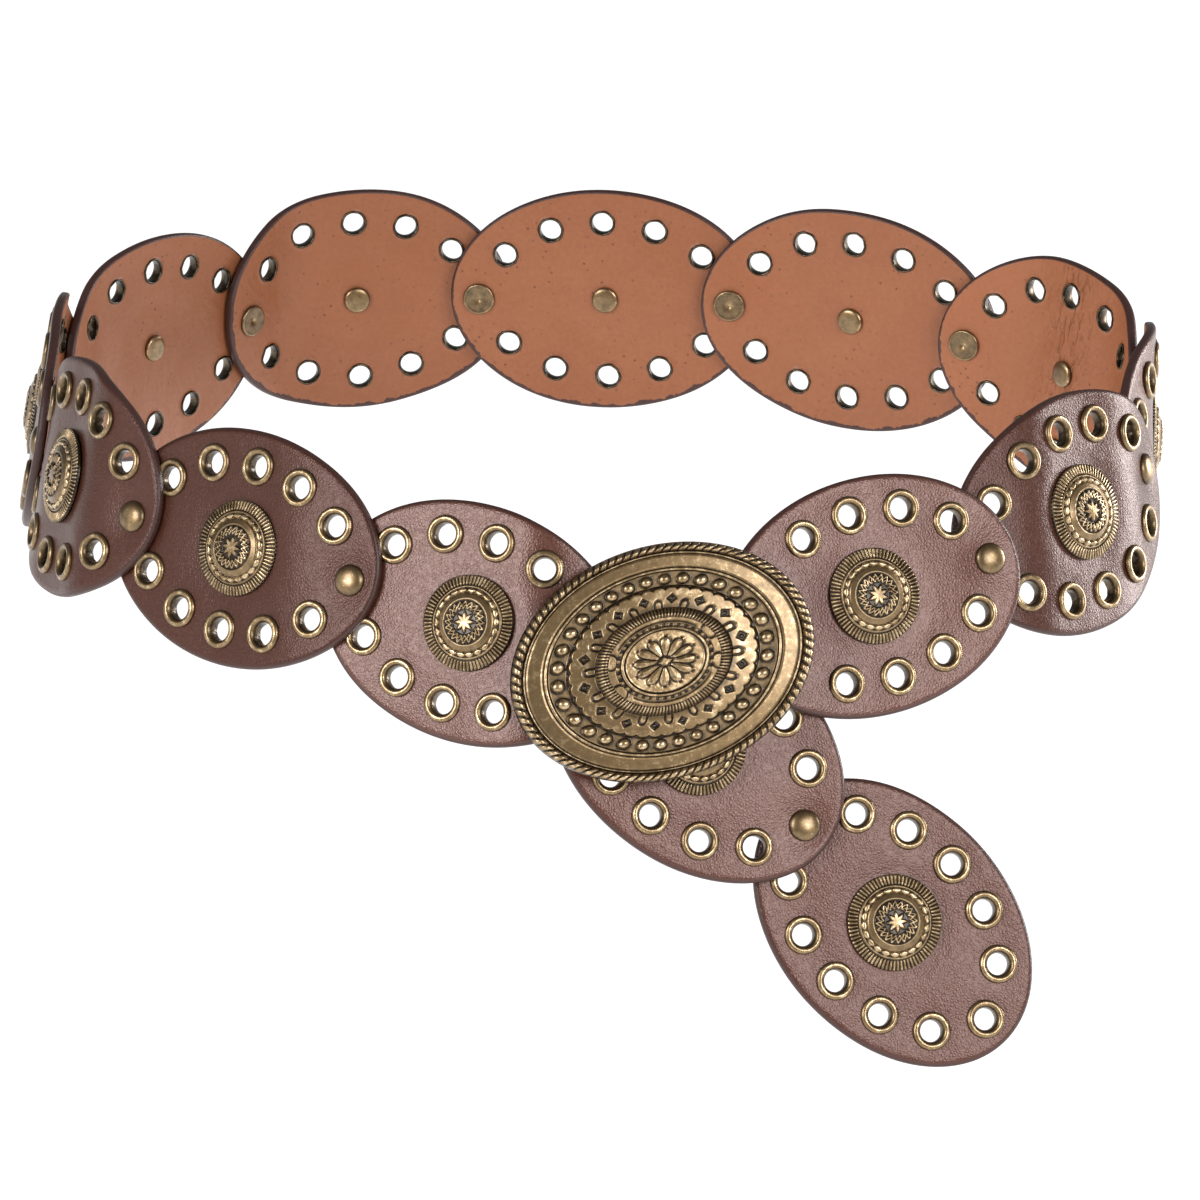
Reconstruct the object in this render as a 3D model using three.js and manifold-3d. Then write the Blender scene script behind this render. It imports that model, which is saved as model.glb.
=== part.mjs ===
// A wide waist belt: oval leather discs, riveted one to the next, closed by a cast oval buckle.
// The last two discs hang down past the buckle as a free tail.
// Millimetres, +Z up. The origin is the middle of the waist, the front faces -Y,
// and the belt stands in the form that it takes when it is worn.
import * as THREE from 'three';
import { mergeVertices } from 'three/addons/utils/BufferGeometryUtils.js';
import Module from 'manifold-3d';

const wasm = await Module();
wasm.setup();

// Leather discs
const discLength = 92;
const discWidth = 66.5;
const leatherThick = 3;
const pitch = 75; // rivet to rivet along a disc
const folds = [16, 24]; // the bend lines lie this far to both sides of a disc's middle
const firstStation = 8; // the outline's first corner to both sides of the middle
const tipSteps = 4; // outline steps from the last bend line to the disc's tip
const pieceGap = 0.3;
const mergeWithin = 1e-4; // corners closer than this are one

// Holes in a disc
const eyeletHole = 3; // radius of the hole inside each brass eyelet
const eyeletSides = 6;
const rivetHole = 1.9;
const rivetSides = 6;

// Eyelet places on a quarter of the disc, measured from its middle along and across it
const eyeletQuarter = [
  { along: 0, across: 23.5 },
  { along: 15.5, across: 21.1 },
  { along: 29.1, across: 13.5 },
];

// One row a disc, from the buckle to the tail. near and far are how far the disc's two sides bend
// round the waist, skew is how far the bend lines lean from its short axis, and pivot is its turn
// about its first rivet, all in degrees. lap is 1 where the disc's far end lies outside the next
// disc, and -1 where it lies inside.
const discs = [
  { near: 0, far: 0, skew: 0, pivot: 0, lap: 1 },
  { near: 24, far: 23, skew: -21, pivot: 6, lap: 1 },
  { near: 22, far: 12, skew: -30, pivot: -4.5, lap: 1 },
  { near: 30, far: 28, skew: 6, pivot: 3, lap: -1 },
  { near: 0, far: 14, skew: -2, pivot: -1.5, lap: -1 },
  { near: 0, far: 0, skew: 0, pivot: -4.5, lap: -1 },
  { near: 19, far: 38, skew: 3, pivot: 0, lap: -1 },
  { near: 0, far: 21, skew: -4, pivot: 1.5, lap: -1 },
  { near: 23, far: 0, skew: 22, pivot: 5.5, lap: 1 },
  { near: 19, far: 32, skew: 12, pivot: 1.5, lap: 1 },
  { near: 0, far: 14, skew: 17, pivot: 6.5, lap: 1 },
  { near: 0, far: 35, skew: 17, pivot: -3.5, lap: 1 },
  { near: 0, far: 0, skew: 0, pivot: -15, lap: 1 },
  { near: 0, far: 0, skew: 0, pivot: -10.5, lap: 1 },
];
const hookedDisc = 11; // the disc that the buckle's peg goes through, counted from 0

// Where the first disc's near rivet hole is, and how the leather faces there:
// heading turns it from -Y towards +X, lean tips its face up, and tilt turns it in its own plane
const start = { x: 42.9, y: -133.6, z: -9.6, heading: 23.4, lean: 23.4, tilt: 8.5 };

// Round ornaments at the middle of each disc, turned about the disc's normal:
// a low coin with a raised boss, and a button cap that holds it from behind
const conchoSides = 12;
const conchoProfile = [
  { radius: 14, height: 0 },
  { radius: 13.7, height: 1.1 },
  { radius: 9.4, height: 2 },
  { radius: 3.7, height: 3.9 },
];
const postRadius = 1.3;
const postSink = 0.5; // how deep the post runs into the coin
const buttonRadius = 3.9;
const buttonThick = 1.4;
const chamfer = 0.5; // on the edge of every cap

// Rivets that join two discs
const capSides = 6;
const capRadius = 4.4;
const capEdge = 0.8;
const capDome = 1.7;
const backCapThick = 0.9;

// Buckle: one row for each oval of its cast relief, from the edge to the middle
const buckleAt = { x: 17.2, y: -145.2, z: -13.7, heading: 8, lean: 22, tilt: 15.5 };
const buckleSides = 28;
const buckleRelief = [
  { long: 43.3, short: 31.9, height: 0 },
  { long: 43.7, short: 32.3, height: 1.6 },
  { long: 42.2, short: 31.2, height: 3.2 },
  { long: 40.2, short: 29.7, height: 2.3 },
  { long: 34.6, short: 25.6, height: 2.6 },
  { long: 33.4, short: 24.7, height: 3.4 },
  { long: 32.4, short: 24, height: 2.2 },
  { long: 27.8, short: 20.6, height: 2.2 },
  { long: 27.2, short: 20.1, height: 3.6 },
  { long: 20.2, short: 14.9, height: 4.2 },
  { long: 17.8, short: 13.2, height: 6.3 },
  { long: 13.4, short: 10.2, height: 6.6 },
  { long: 12.4, short: 9.4, height: 7.8 },
  { long: 11.2, short: 8.4, height: 6.9 },
];
const pegRadius = 1.8;
const pegHead = 2.5;
const pegHeadThick = 1.4;
const pegNeck = 0.6; // between the leather's back and the head
const pegSink = 1.2; // how deep the peg and post run into the buckle's plate

const leatherFinish = { color: 0x6b4a42, roughness: 0.5, metalness: 0 };
const brassFinish = { color: 0x8a7142, roughness: 0.4, metalness: 1 };

const radians = THREE.MathUtils.degToRad;
const halfLeather = leatherThick / 2;
const halfPitch = pitch / 2;
const stack = leatherThick + pieceGap; // middle to middle of two lapped discs

// A right-handed frame: x along the strip, y up across it, z out of its face
function facing(place) {
  const heading = radians(place.heading);
  const lean = radians(place.lean);
  const out = new THREE.Vector3(
    Math.sin(heading) * Math.cos(lean),
    -Math.cos(heading) * Math.cos(lean),
    Math.sin(lean),
  );
  const along = new THREE.Vector3(Math.cos(heading), Math.sin(heading), 0);
  const across = new THREE.Vector3().crossVectors(out, along);
  return new THREE.Matrix4()
    .makeBasis(along, across, out)
    .setPosition(place.x, place.y, place.z)
    .multiply(new THREE.Matrix4().makeRotationZ(radians(place.tilt)));
}

// The bent disc's section at a distance from its middle line: how far along, how high and how far
// turned. On a bend line the leather's faces meet in a mitre.
function wrap(row, distance) {
  const step = radians(distance < 0 ? row.near : row.far) / folds.length;
  const side = Math.sign(distance);
  const away = Math.abs(distance);
  let along = 0;
  let rise = 0;
  let turn = 0;
  let from = 0;
  [...folds, Infinity].forEach((fold) => {
    const run = Math.max(Math.min(away, fold) - from, 0);
    along += run * Math.cos(turn);
    rise -= run * Math.sin(turn);
    turn += (step * (1 + Math.sign(away - fold))) / 2;
    from = fold;
  });
  const mitre = folds.includes(away) ? 1 / Math.cos(step / 2) : 1;
  return { along: side * along, rise, turn: side * turn, mitre };
}

// A point of the bent leather in the frame of its bend: distance from the disc's middle across the
// bend line, side along that line, and w out of the leather
function bent(row, distance, side, w) {
  const section = wrap(row, distance);
  const reach = w * section.mitre;
  return new THREE.Vector3(
    section.along + reach * Math.sin(section.turn),
    side,
    section.rise + reach * Math.cos(section.turn),
  );
}

// The turn from the disc's own frame to the frame of its bend
function skewed(row) {
  return new THREE.Matrix4().makeRotationZ(radians(row.skew));
}

// The frame that stands on the bent leather, with z out of it, given flat as u along and v across
function frameInBend(row, u, v) {
  const flat = new THREE.Vector3(u, v, 0).applyMatrix4(skewed(row).invert());
  const section = wrap(row, flat.x);
  return new THREE.Matrix4()
    .makeRotationY(section.turn)
    .setPosition(section.along, flat.y, section.rise)
    .multiply(skewed(row).invert());
}

function frameOn(row, u, v) {
  return skewed(row).multiply(frameInBend(row, u, v));
}

// A closed solid from corner points and the polygons between them
function solidOf(points, faces) {
  const corners = [];
  faces.forEach((face) => {
    for (let i = 1; i < face.length - 1; i += 1) {
      const triangle = [face[0], face[i], face[i + 1]];
      if (new Set(triangle).size === 3) {
        corners.push(...triangle);
      }
    }
  });
  const vertProperties = new Float32Array(points.flatMap((point) => point.toArray()));
  const mesh = new wasm.Mesh({ numProp: 3, vertProperties, triVerts: new Uint32Array(corners) });
  return new wasm.Manifold(mesh);
}

// A solid from a three.js geometry, with its shared corners merged
function solidFrom(geometry) {
  geometry.deleteAttribute('normal');
  geometry.deleteAttribute('uv');
  const merged = mergeVertices(geometry, mergeWithin);
  const place = merged.attributes.position;
  const points = [];
  for (let i = 0; i < place.count; i += 1) {
    points.push(new THREE.Vector3().fromBufferAttribute(place, i));
  }
  const faces = [];
  for (let i = 0; i < merged.index.count; i += 3) {
    faces.push([merged.index.getX(i), merged.index.getX(i + 1), merged.index.getX(i + 2)]);
  }
  return solidOf(points, faces);
}

// A mesh of a solid, with its own finish
function meshOf(solid, finish) {
  const cut = solid.getMesh();
  const geometry = new THREE.BufferGeometry();
  geometry.setAttribute('position', new THREE.BufferAttribute(new Float32Array(cut.vertProperties), 3));
  geometry.setIndex(new THREE.BufferAttribute(new Uint32Array(cut.triVerts), 1));
  geometry.computeVertexNormals();
  return new THREE.Mesh(geometry, new THREE.MeshStandardMaterial(finish));
}

// A solid turned about z from rows of radius and height that run from the bottom up
function turned(rows, sides) {
  const profile = [
    new THREE.Vector2(0, rows[0].height),
    ...rows.map((row) => new THREE.Vector2(row.radius, row.height)),
    new THREE.Vector2(0, rows[rows.length - 1].height),
  ];
  return solidFrom(new THREE.LatheGeometry(profile, sides).rotateX(Math.PI / 2));
}

// The oval leather blank: flat strips between the bend lines, with its outline stepped to the tips
function leatherBlank(row) {
  const skew = radians(row.skew);
  const halfLong = discLength / 2;
  const halfShort = discWidth / 2;
  const reach = Math.hypot(halfLong * Math.cos(skew), halfShort * Math.sin(skew));
  const drift = ((halfShort ** 2 - halfLong ** 2) * Math.sin(skew) * Math.cos(skew)) / reach ** 2;
  const lastFold = folds[folds.length - 1];
  const tipAngle = Math.acos(lastFold / reach);
  const outward = [firstStation, ...folds];
  for (let i = 1; i <= tipSteps; i += 1) {
    outward.push(reach * Math.cos(tipAngle * (1 - i / tipSteps)));
  }
  const distances = [...outward.map((distance) => -distance).reverse(), ...outward];
  const points = [];
  const corner = (distance, side, w) => {
    const spread = ((halfLong * halfShort) / reach) * Math.sqrt(Math.max(1 - (distance / reach) ** 2, 0));
    points.push(bent(row, distance, drift * distance + side * spread, w));
    return points.length - 1;
  };
  const rings = distances.map((distance, i) => {
    const tip = i === 0 || i === distances.length - 1;
    const topLow = corner(distance, -1, halfLeather);
    const topHigh = tip ? topLow : corner(distance, 1, halfLeather);
    const backLow = corner(distance, -1, -halfLeather);
    const backHigh = tip ? backLow : corner(distance, 1, -halfLeather);
    return { topLow, topHigh, backLow, backHigh };
  });
  const faces = [];
  rings.slice(1).forEach((next, i) => {
    const here = rings[i];
    faces.push([here.topLow, next.topLow, next.topHigh], [here.topLow, next.topHigh, here.topHigh]);
    faces.push([here.backLow, next.backHigh, next.backLow], [here.backLow, here.backHigh, next.backHigh]);
    faces.push([here.topHigh, next.topHigh, here.backHigh], [next.topHigh, next.backHigh, here.backHigh]);
    faces.push([here.topLow, here.backLow, next.topLow], [next.topLow, here.backLow, next.backLow]);
  });
  return solidOf(points, faces);
}

// The punches for one disc's holes, all in one solid, each square to the leather at its middle
function punches(row, holes) {
  const points = [];
  const faces = [];
  holes.forEach((hole) => {
    const first = points.length;
    const frame = frameInBend(row, hole.along, hole.across);
    const ring = Array.from({ length: hole.sides }, (_, i) => i);
    [-leatherThick, leatherThick].forEach((w) => {
      ring.forEach((i) => {
        const angle = (2 * Math.PI * (i + 0.5)) / hole.sides;
        const corner = new THREE.Vector3(hole.radius * Math.cos(angle), hole.radius * Math.sin(angle), w);
        points.push(corner.applyMatrix4(frame));
      });
    });
    faces.push(ring.map((i) => first + hole.sides - 1 - i));
    faces.push(ring.map((i) => first + hole.sides + i));
    ring.forEach((i) => {
      const next = (i + 1) % hole.sides;
      faces.push([first + i, first + next, first + hole.sides + next, first + hole.sides + i]);
    });
  });
  return solidOf(points, faces);
}

// The holes of one disc: eyelets along both edges, one under the ornament and one for each rivet.
// The first disc has no eyelets at its near end, round the buckle's post. The tail's last disc has
// an eyelet at its free end in place of a rivet.
function holesOf(index) {
  const nearest = index === 0 ? -eyeletQuarter[1].along : -halfPitch;
  const eyelets = eyeletQuarter.flatMap(({ along, across }) => {
    const mirrored = along === 0 ? [along] : [-along, along].filter((place) => place >= nearest);
    return mirrored.flatMap((place) => [-across, across].map((side) => [place, side]));
  });
  const rivets = [[0, 0], [-halfPitch, 0]];
  const farEnd = [halfPitch, 0];
  if (index === discs.length - 1) {
    eyelets.push(farEnd);
  } else {
    rivets.push(farEnd);
  }
  const eyeletOf = ([along, across]) => ({ along, across, radius: eyeletHole, sides: eyeletSides });
  const rivetOf = ([along, across]) => ({ along, across, radius: rivetHole, sides: rivetSides });
  return [...eyelets.map(eyeletOf), ...rivets.map(rivetOf)];
}

function leatherDisc(row, index) {
  return leatherBlank(row).subtract(punches(row, holesOf(index)));
}

// The ornament on its post, with the button cap behind the leather
function concho() {
  const seat = halfLeather + pieceGap;
  const raised = conchoProfile.map(({ radius, height }) => ({ radius, height: height + seat }));
  const coin = turned(raised, conchoSides);
  const stud = turned([
    { radius: buttonRadius - chamfer, height: -seat - buttonThick },
    { radius: buttonRadius, height: -seat },
    { radius: postRadius, height: -seat },
    { radius: postRadius, height: seat + postSink },
  ], rivetSides);
  return coin.add(stud);
}

// A joint rivet through two lapped discs: domed outside, flat behind
function rivet() {
  const seat = stack / 2 + halfLeather + pieceGap;
  return turned([
    { radius: capRadius - chamfer, height: -seat - backCapThick },
    { radius: capRadius, height: -seat },
    { radius: postRadius, height: -seat },
    { radius: postRadius, height: seat },
    { radius: capRadius, height: seat },
    { radius: capRadius - chamfer, height: seat + capEdge },
    { radius: capRadius / 2, height: seat + capDome },
  ], capSides);
}

// The buckle's plate with its raised ovals, from its flat back to the medallion
function bucklePlate() {
  const points = [];
  const faces = [];
  const ring = Array.from({ length: buckleSides }, (_, i) => i);
  buckleRelief.forEach(({ long, short, height }) => {
    ring.forEach((i) => {
      const angle = (2 * Math.PI * i) / buckleSides;
      points.push(new THREE.Vector3(long * Math.cos(angle), short * Math.sin(angle), height));
    });
  });
  buckleRelief.slice(1).forEach((_, band) => {
    const low = band * buckleSides;
    const high = low + buckleSides;
    ring.forEach((i) => {
      const next = (i + 1) % buckleSides;
      faces.push([low + i, low + next, high + next, high + i]);
    });
  });
  const last = (buckleRelief.length - 1) * buckleSides;
  faces.push(ring.map((i) => last + i));
  faces.push(ring.map((i) => buckleSides - 1 - i));
  return solidOf(points, faces);
}

// How far a line out of a frame runs before it is sunk in the buckle's plate
function reachToPlate(from, plate) {
  const point = new THREE.Vector3().setFromMatrixPosition(from);
  const line = new THREE.Vector3().setFromMatrixColumn(from, 2);
  const back = new THREE.Vector3().setFromMatrixPosition(plate);
  const out = new THREE.Vector3().setFromMatrixColumn(plate, 2);
  return (back.sub(point).dot(out) + pegSink) / line.dot(out);
}

// The solid placed by a matrix, still as a solid
function placed(solid, matrix) {
  return solidFrom(meshOf(solid, brassFinish).geometry.applyMatrix4(matrix));
}

// The whole buckle: its plate, the riveted post that holds it to the first disc,
// and the headed peg that hooks into an eyelet of the other end
function buckle(postFrame, pegFrame) {
  const plateFrame = facing(buckleAt);
  const seat = halfLeather + pieceGap;
  const post = turned([
    { radius: capRadius - chamfer, height: -seat - backCapThick },
    { radius: capRadius, height: -seat },
    { radius: postRadius, height: -seat },
    { radius: postRadius, height: reachToPlate(postFrame, plateFrame) },
  ], rivetSides);
  const peg = turned([
    { radius: pegHead - chamfer, height: -halfLeather - pegNeck - pegHeadThick },
    { radius: pegHead, height: -halfLeather - pegNeck },
    { radius: pegRadius, height: -halfLeather - pegNeck },
    { radius: pegRadius, height: reachToPlate(pegFrame, plateFrame) },
  ], capSides);
  return placed(bucklePlate(), plateFrame).add(placed(post, postFrame)).add(placed(peg, pegFrame));
}

const belt = new THREE.Group();

function addPiece(name, solid, finish, matrix = new THREE.Matrix4()) {
  const mesh = meshOf(solid, finish);
  mesh.name = name;
  mesh.applyMatrix4(matrix);
  belt.add(mesh);
}

// The chain of discs: each starts at the last one's rivet, one leather thickness in or out
const ordinal = (index) => String(index + 1).padStart(2, '0');
const joint = facing(start);
const conchoSolid = concho();
const rivetSolid = rivet();
const buckleHolds = {};
discs.forEach((row, index) => {
  joint.multiply(new THREE.Matrix4().makeRotationZ(radians(row.pivot)));
  const middle = joint.clone().multiply(frameOn(row, -halfPitch, 0).invert());
  const leatherFrame = middle.clone().multiply(skewed(row));
  addPiece(`disc_${ordinal(index)}`, leatherDisc(row, index), leatherFinish, leatherFrame);
  addPiece(`concho_${ordinal(index)}`, conchoSolid, brassFinish, middle);
  if (index === 0) {
    buckleHolds.post = joint.clone();
  }
  if (index === hookedDisc) {
    const { along, across } = eyeletQuarter[2];
    buckleHolds.peg = middle.clone().multiply(frameOn(row, along, across));
  }
  joint.copy(middle).multiply(frameOn(row, halfPitch, 0));
  if (index < discs.length - 1) {
    const halfStep = new THREE.Matrix4().makeTranslation(0, 0, (-row.lap * stack) / 2);
    joint.multiply(halfStep);
    addPiece(`rivet_${ordinal(index)}`, rivetSolid, brassFinish, joint);
    joint.multiply(halfStep);
  }
});
addPiece('buckle', buckle(buckleHolds.post, buckleHolds.peg), brassFinish);

export default belt;
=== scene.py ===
from math import atan2, cos, exp, hypot, pi, radians, sin, sqrt

import bpy
from mathutils import Matrix, Vector, noise
from mathutils.geometry import delaunay_2d_cdt


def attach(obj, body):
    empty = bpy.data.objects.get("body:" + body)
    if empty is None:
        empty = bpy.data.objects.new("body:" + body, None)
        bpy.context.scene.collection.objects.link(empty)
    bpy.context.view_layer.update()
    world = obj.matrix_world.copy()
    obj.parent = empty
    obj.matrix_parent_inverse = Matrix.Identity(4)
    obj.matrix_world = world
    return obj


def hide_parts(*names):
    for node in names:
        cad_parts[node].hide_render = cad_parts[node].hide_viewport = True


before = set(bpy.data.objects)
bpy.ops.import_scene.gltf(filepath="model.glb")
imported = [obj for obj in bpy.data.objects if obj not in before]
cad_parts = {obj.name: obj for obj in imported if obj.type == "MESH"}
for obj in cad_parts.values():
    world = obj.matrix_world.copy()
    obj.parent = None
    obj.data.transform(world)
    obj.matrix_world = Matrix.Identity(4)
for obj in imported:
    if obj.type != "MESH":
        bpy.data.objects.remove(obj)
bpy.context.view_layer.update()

# Leather discs
# Fourteen ovals are die cut from 3 mm belt leather and set in a row, each riveted over or under
# the next. Worn, each bends across its middle, and it dips a little where a rivet pulls it in.
millimetre = 0.001  # the sizes below are in millimetres, and piece_of turns them to metres
half_long = 46.0
half_wide = 33.25
leather_thick = 3.0
half_pitch = 37.5
lap_step = 3.3
cad_folds = (16.0, 24.0)
bend_start = 12.0
bend_end = 28.0

# near and far are how far the disc's two sides bend round the waist, skew how far the bend lines
# lean and pivot the turn about the first rivet, all in degrees; lap is 1 where the far end lies
# outside the next disc and -1 where it lies inside it; the last number, from 0 to 1, is how light
# the disc is drawn, partly its dye and partly painted light and shade for how much light the disc
# gets, and how much wax it holds
discs = [
    dict(near=0, far=0, skew=0, pivot=0, lap=1, tone=0.75),
    dict(near=24, far=23, skew=-21, pivot=6, lap=1, tone=0.05),
    dict(near=22, far=12, skew=-30, pivot=-4.5, lap=1, tone=0.6),
    dict(near=30, far=28, skew=6, pivot=3, lap=-1, tone=1),
    dict(near=0, far=14, skew=-2, pivot=-1.5, lap=-1, tone=0.65),
    dict(near=0, far=0, skew=0, pivot=-4.5, lap=-1, tone=0.5),
    dict(near=19, far=38, skew=3, pivot=0, lap=-1, tone=0.4),
    dict(near=0, far=21, skew=-4, pivot=1.5, lap=-1, tone=0.25),
    dict(near=23, far=0, skew=22, pivot=5.5, lap=1, tone=0.1),
    dict(near=19, far=32, skew=12, pivot=1.5, lap=1, tone=0.1),
    dict(near=0, far=14, skew=17, pivot=6.5, lap=1, tone=0),
    dict(near=0, far=35, skew=17, pivot=-3.5, lap=1, tone=0.6),
    dict(near=0, far=0, skew=0, pivot=-15, lap=1, tone=0.55),
    dict(near=0, far=0, skew=0, pivot=-10.5, lap=1, tone=0.45),
]
last_disc = len(discs) - 1

# Where the eyelets are, along and across a disc; the first disc has none under the buckle's end,
# and the last has one more where the others have their second rivet
eyelets = [(u, side * v)
           for u, v in ((0, 23.5), (15.5, 21.1), (-15.5, 21.1), (29.1, 13.5), (-29.1, 13.5))
           for side in (-1, 1)]
first_disc_eyelets = [place for place in eyelets if place[0] > -20]
last_disc_eyelets = eyelets + [(half_pitch, 0)]


def turn_z(degrees):
    return Matrix.Rotation(radians(degrees), 4, "Z")


def lifted(height):
    return Matrix.Translation((0, 0, height))


def facing(x, y, z, heading, lean, tilt):
    """A frame with x along the strip, y up across it and z out of its face."""
    heading, lean = radians(heading), radians(lean)
    out = Vector((sin(heading) * cos(lean), -cos(heading) * cos(lean), sin(lean)))
    along = Vector((cos(heading), sin(heading), 0))
    turned = Matrix((along, out.cross(along), out)).transposed().to_4x4()
    return Matrix.Translation((x, y, z)) @ turned @ turn_z(tilt)


def folded(disc, distance):
    """Along, rise and turn of a disc with each side bent in two equal folds, as in the CAD."""
    step = radians(disc["far"] if distance > 0 else disc["near"]) / len(cad_folds)
    along = rise = turn = start = 0.0
    for fold in (*cad_folds, half_long):
        run = max(min(abs(distance), fold) - start, 0.0)
        along += run * cos(turn)
        rise -= run * sin(turn)
        turn += step if abs(distance) > fold else 0.0
        start = fold
    side = 1 if distance > 0 else -1
    return side * along, rise, side * turn


def curved(disc, distance):
    """The same with each bend spread evenly along the leather."""
    away = abs(distance)
    bent = max(radians(disc["far"] if distance > 0 else disc["near"]), 1e-6)
    curve = bent / (bend_end - bend_start)
    turn = curve * min(max(away - bend_start, 0), bend_end - bend_start)
    straight = max(away - bend_end, 0)
    along = min(away, bend_start) + sin(turn) / curve + straight * cos(turn)
    rise = -(1 - cos(turn)) / curve - straight * sin(turn)
    side = 1 if distance > 0 else -1
    return side * along, rise, side * turn


def on_disc(disc, u, v, section=curved):
    """The frame that stands on a bent disc, given flat as u along it and v across it."""
    flat = turn_z(-disc["skew"]) @ Vector((u, v, 0))
    along, rise, turn = section(disc, flat.x)
    bent = Matrix.Translation((along, flat.y, rise)) @ Matrix.Rotation(turn, 4, "Y")
    return turn_z(disc["skew"]) @ bent @ turn_z(-disc["skew"])


joint = facing(x=42.9, y=-133.6, z=-9.6, heading=23.4, lean=23.4, tilt=8.5)
first_joint = joint.copy()
rivets_at = []
for disc in discs:
    joint = joint @ turn_z(disc["pivot"])
    disc["middle"] = joint @ on_disc(disc, -half_pitch, 0, folded).inverted()
    end = disc["middle"] @ on_disc(disc, half_pitch, 0, folded)
    rivets_at.append(end @ lifted(-disc["lap"] * lap_step / 2))
    joint = end @ lifted(-disc["lap"] * lap_step)
rivets_at.pop()

rivet_dip = 1.0
rivet_dip_reach = 9
held_reach = 32
wave_height = 1.1
wave_long = 26
wave_gap = 7.3  # between one disc's slice of the noise and the next one's
cup_depth = 0.5
rim_press = 0.4
rim_press_reach = 6.2
stud_ring = 13
stud_press = 0.35
stud_press_reach = 3.2


def bell(distance, reach):
    return exp(-((distance / reach) ** 2))


def sag(number, u, v):
    """How far the whole leather stands off its even curve."""
    dip = -rivet_dip * bell(hypot(u + half_pitch, v), rivet_dip_reach)
    if number < last_disc:
        dip -= rivet_dip * bell(hypot(u - half_pitch, v), rivet_dip_reach)
    free = 1 - bell(hypot(u + half_long, v), held_reach) - bell(hypot(u - half_long, v), held_reach)
    wave = noise.noise(Vector((u / wave_long, v / wave_long, number * wave_gap)))
    cup = cup_depth * ((v / half_wide) ** 2)
    return dip + max(free, 0) * (wave_height * wave - cup)


def squeeze(u, v):
    """How far a face is pressed in by the stud, the rivets and the eyelets' rims."""
    pressed = stud_press * bell(abs(hypot(u, v) - stud_ring), stud_press_reach)
    for along, across in [(-half_pitch, 0), (half_pitch, 0)] + eyelets:
        pressed += rim_press * bell(hypot(u - along, v - across), rim_press_reach)
    return pressed


def rim_point(angle, inset):
    """A point of the disc's outline, stepped in square to it."""
    square = Vector((cos(angle) / half_long, sin(angle) / half_wide)).normalized()
    return half_long * cos(angle) - inset * square.x, half_wide * sin(angle) - inset * square.y


def circle(middle, radius, sides):
    angles = [2 * pi * i / sides for i in range(sides)]
    return [(middle[0] + radius * cos(a), middle[1] + radius * sin(a)) for a in angles]


# The leather's edge from its outer face to its inner one, each step as inset and height
edge_steps = [(2.0, 1.5), (1.25, 1.42), (0.65, 1.22), (0.22, 0.88), (0, 0.4), (0, -0.7),
              (0.08, -1.05), (0.3, -1.35), (0.7, -1.5)]
rim_sides = 168
hole_radius = 3.3
hole_sides = 20
collar_radius = 5.2
collar_sides = 14
mesh_along = 2.2
mesh_across = 1.9
mesh_off_rim = 2.6
mesh_off_hole = 6.4


def flat_pattern(holes):
    """Points and triangles of one flat face, with a loop round its rim and round each hole."""
    points = [rim_point(2 * pi * i / rim_sides, edge_steps[0][0]) for i in range(rim_sides)]
    loops = [list(range(rim_sides))]
    for hole in holes:
        loops.append(list(range(len(points), len(points) + hole_sides)))
        points += circle(hole, hole_radius, hole_sides)
    fixed = [(loop[i - 1], loop[i]) for loop in loops for i in range(len(loop))]
    for hole in holes:
        points += circle(hole, collar_radius, collar_sides)
    rows, columns = int(half_wide / mesh_across), int(half_long / mesh_along)
    for row in range(-rows, rows + 1):
        for column in range(-columns, columns + 1):
            u, v = mesh_along * (column + 0.5 * (row % 2)), mesh_across * row
            if hypot(u / (half_long - mesh_off_rim), v / (half_wide - mesh_off_rim)) < 1:
                if min(hypot(u - h[0], v - h[1]) for h in holes) > mesh_off_hole:
                    points.append((u, v))
    found = delaunay_2d_cdt([Vector(p) for p in points], fixed, [], 0, 1e-6)
    triangles = []
    for face in found[2]:
        middle = sum((found[0][i] for i in face), Vector((0, 0))) / 3
        if min(hypot(middle.x - h[0], middle.y - h[1]) for h in holes) > hole_radius - 0.1:
            triangles.append(tuple(face))
    return [tuple(p) for p in found[0]], triangles, loops


hard_bend_from = 20
hard_bend_full = 28
hard_bend_reach = 9


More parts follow.
